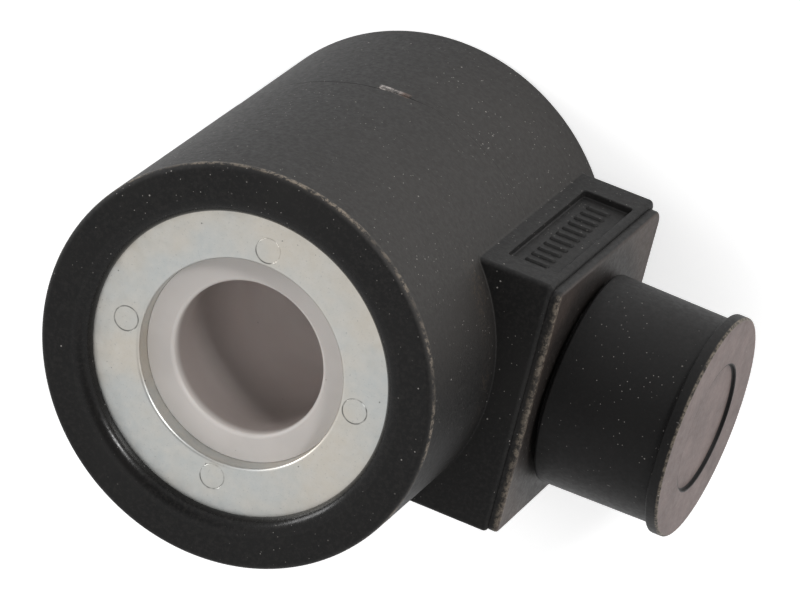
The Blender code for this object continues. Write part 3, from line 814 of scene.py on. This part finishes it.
def make_cap():
    """The push-on dust cap: a tapered cup with a raised rim and a dished end."""
    rim, dish = CAP_FLANGE_RADIUS, CAP_DISH_RADIUS
    floor = CAP_END - CAP_DISH_DEPTH
    profile = [(0, floor), (dish - 0.25, floor)]
    profile += arc((dish - 0.25, floor + 0.15), 0.15, -90, 0, 3)
    profile += arc((dish + 0.02, CAP_END - 0.12), 0.12, 180, 90, 3)
    profile += arc((rim - 0.28, CAP_END - 0.28), 0.28, 90, 0, 5)
    profile += arc((rim - 0.3, CAP_FLANGE_START + 0.3), 0.3, 0, -90, 5)
    profile += arc((CAP_RADII[1] + 0.2, CAP_FLANGE_START - 0.2), 0.2, 90, 180, 4)
    profile += [(CAP_RADII[0], CAP_START + 0.35)]
    profile += arc((CAP_RADII[0] - 0.35, CAP_START + 0.35), 0.35, 0, -90, 5)
    profile += arc((CAP_BORE_RADIUS + 0.35, CAP_START + 0.35), 0.35, -90, -180, 5)
    profile += [(CAP_BORE_RADIUS, CAP_INNER_FACE - 0.5)]
    profile += arc((CAP_BORE_RADIUS - 0.5, CAP_INNER_FACE - 0.5), 0.5, 0, 90, 5)
    profile += [(0, CAP_INNER_FACE)]
    cap = lathe("cap_shell", profile, 224, CONNECTOR_FRAME)
    finish_piece(cap, "dust_cap", BLACK_CAP, "cap")


# ---------------------------------------------------------------- inner pieces


def dress_inner_pieces():
    """Gives the pieces that keep their CAD shape a material and its slot."""
    finishes = {
        "yoke_tube": ("yoke_steel", STEEL),
        "winding": ("enamelled_copper", COPPER),
        "winding_tape": ("winding_tape", TAPE),
        "start_lead": ("enamelled_copper", COPPER),
        "finish_lead": ("enamelled_copper", COPPER),
        "start_lead_sleeve": ("sleeving", SLEEVING),
        "finish_lead_sleeve": ("sleeving", SLEEVING),
        "start_crimp": ("tinned_brass", TIN),
        "finish_crimp": ("tinned_brass", TIN),
        "contact_pin_1": ("tinned_brass", TIN),
        "contact_pin_2": ("tinned_brass", TIN),
        "terminal_carrier": ("carrier_nylon", CARRIER),
        "suppressor_diode": ("diode_epoxy", DIODE),
        "diode_lead_1": ("tinned_brass", TIN),
        "diode_lead_2": ("tinned_brass", TIN),
    }
    for name, (slot, material) in finishes.items():
        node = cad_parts[name]
        node.data.materials.clear()
        node.data.materials.append(material)


# ---------------------------------------------------------------- stage, light and camera


SKY = 0.82
TABLE_GLOW = 0.44
# The sky darkens round this direction, which is the camera's side. Both ends of the fade are cosines.
SKY_DARK = 0.22
DARK_SIDE = Vector((0.268, 0.417, 0.869)).normalized()
DARK_FADE = (0.60, 0.97)

CAMERA_RIGHT = Vector((0.8939, 0.2294, -0.3853))
CAMERA_UP = Vector((-0.3598, 0.8797, -0.3110))
CAMERA_TARGET = Vector((-2.714, 2.500, 28.137))
CAMERA_DISTANCE = 732.1
CAMERA_LENS = 274.8


def area_light(name, azimuth, elevation, distance, size, power):
    """A square soft light that faces the object. Azimuth 0 is at -Y, and 90 is at +X."""
    a, e = math.radians(azimuth), math.radians(elevation)
    back = Vector((math.sin(a) * math.cos(e), -math.cos(a) * math.cos(e), math.sin(e)))
    data = bpy.data.lights.new(name, "AREA")
    data.size = size
    data.energy = power
    light = bpy.data.objects.new(name, data)
    light.location = Vector((0, 0, BODY_HEIGHT / 2 * MM)) + back * distance
    light.rotation_mode = "QUATERNION"
    light.rotation_quaternion = back.to_track_quat("Z", "Y")
    bpy.context.scene.collection.objects.link(light)


def make_stage():
    """A bright room that is darker on the camera's side, a lit white table and two soft lamps."""
    world = bpy.data.worlds.new("studio")
    bpy.context.scene.world = world
    world.use_nodes = True
    nodes, links = world.node_tree.nodes, world.node_tree.links
    background = nodes["Background"]
    place = nodes.new("ShaderNodeTexCoord")
    facing = nodes.new("ShaderNodeVectorMath")
    facing.operation = "DOT_PRODUCT"
    facing.inputs[1].default_value = DARK_SIDE
    links.new(place.outputs["Generated"], facing.inputs[0])
    fade = nodes.new("ShaderNodeMapRange")
    fade.interpolation_type = "SMOOTHSTEP"
    for key, value in zip(("From Min", "From Max", "To Min", "To Max"), (*DARK_FADE, SKY, SKY_DARK)):
        fade.inputs[key].default_value = value
    links.new(facing.outputs["Value"], fade.inputs["Value"])
    links.new(fade.outputs["Result"], background.inputs["Strength"])
    background.inputs["Color"].default_value = (1.0, 1.0, 1.0, 1)

    floor = lathe("floor", [(0, 0), (1500, 0), (1500, -5), (0, -5)], 96)
    floor.location.z = -0.0001
    paper = Nodes("pale_paper", (0.96, 0.96, 0.96), 0.9)
    tone = paper.mix(paper.ramp(paper.noise(30, 3), 0.3, 0.7), (0.96, 0.96, 0.96), (0.95, 0.95, 0.95))
    paper.shader.inputs["Emission Color"].default_value = (1.0, 1.0, 1.0, 1)
    paper.shader.inputs["Emission Strength"].default_value = TABLE_GLOW
    floor.data.materials.append(paper.done(tone, None, paper.bump(paper.noise(1500), 0.05, 0.00005)))

    area_light("lamp_right", azimuth=140, elevation=27, distance=0.9, size=0.16, power=4.0)
    area_light("lamp_left", azimuth=256, elevation=20, distance=0.9, size=0.30, power=2.8)
    bpy.context.scene.view_settings.view_transform = "Standard"


def make_camera():
    """A long lens from the upper side of the connector, rolled so that the front face looks left."""
    right = CAMERA_RIGHT.normalized()
    up = (CAMERA_UP - right * CAMERA_UP.dot(right)).normalized()
    back = right.cross(up)
    data = bpy.data.cameras.new("camera")
    data.lens = CAMERA_LENS
    data.sensor_width = 36.0
    data.clip_start, data.clip_end = 0.05, 20.0
    camera = bpy.data.objects.new("camera", data)
    rotation = Matrix((right, up, back)).transposed().to_4x4()
    camera.matrix_world = Matrix.Translation(CAMERA_TARGET * MM + back * (CAMERA_DISTANCE * MM)) @ rotation
    bpy.context.scene.collection.objects.link(camera)
    bpy.context.scene.camera = camera


make_camera()
make_stage()
make_housing()
make_plate("front_plate_ring", "front_flux_plate", PLATE_LOW.z / MM, PLATE_HIGH.z / MM, 1)
make_plate("rear_plate_ring", "rear_flux_plate", REAR_LOW.z / MM, REAR_HIGH.z / MM, -1)
make_bobbin()
make_receptacle()
make_cap()
dress_inner_pieces()
